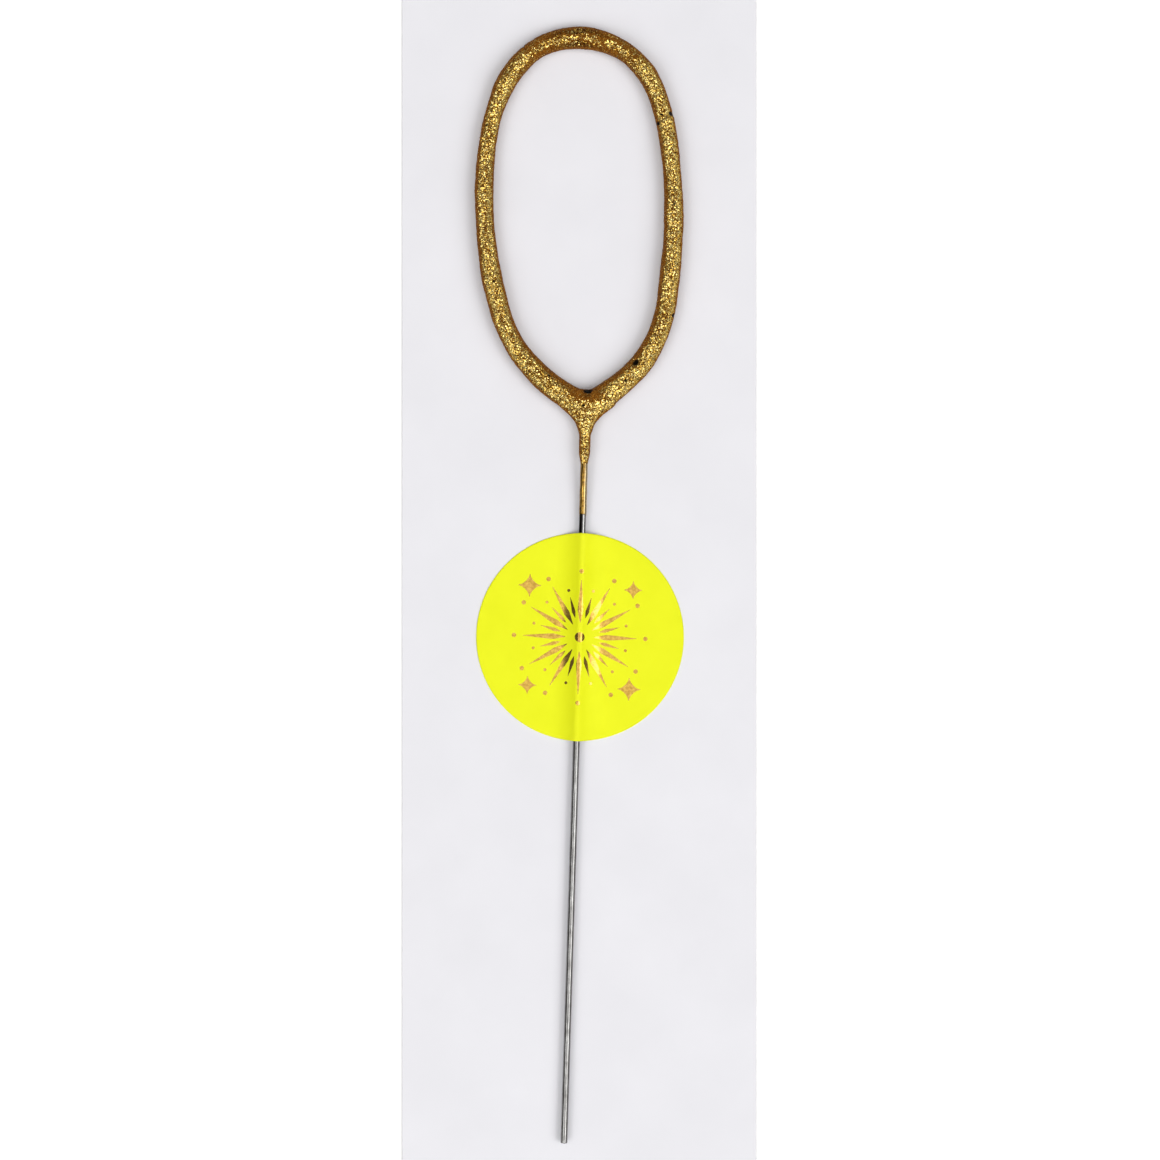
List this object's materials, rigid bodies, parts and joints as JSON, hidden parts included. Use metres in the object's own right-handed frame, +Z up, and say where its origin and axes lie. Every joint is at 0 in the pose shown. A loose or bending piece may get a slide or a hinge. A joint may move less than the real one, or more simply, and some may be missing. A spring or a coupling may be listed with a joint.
{
  "type": "sparkler",
  "caption": "Hand sparkler with a gold-dipped oval loop and bare wire stem, held on a plain backing card by one round sticker.",
  "frame": {"origin": "centre of the card's back face", "axes": "+X across the card to the right, +Y along the card towards the loop, +Z up from the card's back through its face"},
  "size_m": [0.0572, 0.19, 0.0038],
  "materials": {
    "card": "white paperboard, faint tooth, cut edges",
    "sticker_paper": "fluorescent yellow satin paper",
    "sticker_gum": "thin clear pressure-sensitive gum",
    "wire": "bare drawn steel wire, slightly tarnished",
    "composition": "dark grey dried spark composition",
    "gold": "granular gold lacquer, sparkling flakes"
  },
  "bodies": {
    "card": {"backing_card": "card"},
    "sticker": {"sticker_face": "sticker_paper", "sticker_adhesive": "sticker_gum"},
    "sparkler": {"core_wire": "wire", "spark_composition": "composition", "gold_lacquer": "gold"}
  },
  "joints": [
    {"name": "sticker_peel", "type": "hinge", "parent": "card", "child": "sticker", "pos_m": [-0.01662, -0.00867, 0.0004], "axis": [-0.0311, -0.9995, 0], "range_deg": [0, 90]},
    {"name": "sparkler_pull", "type": "slide", "parent": "card", "child": "sparkler", "axis": [0.0311, 0.9995, 0], "range_m": [0, 0.1]}
  ]
}
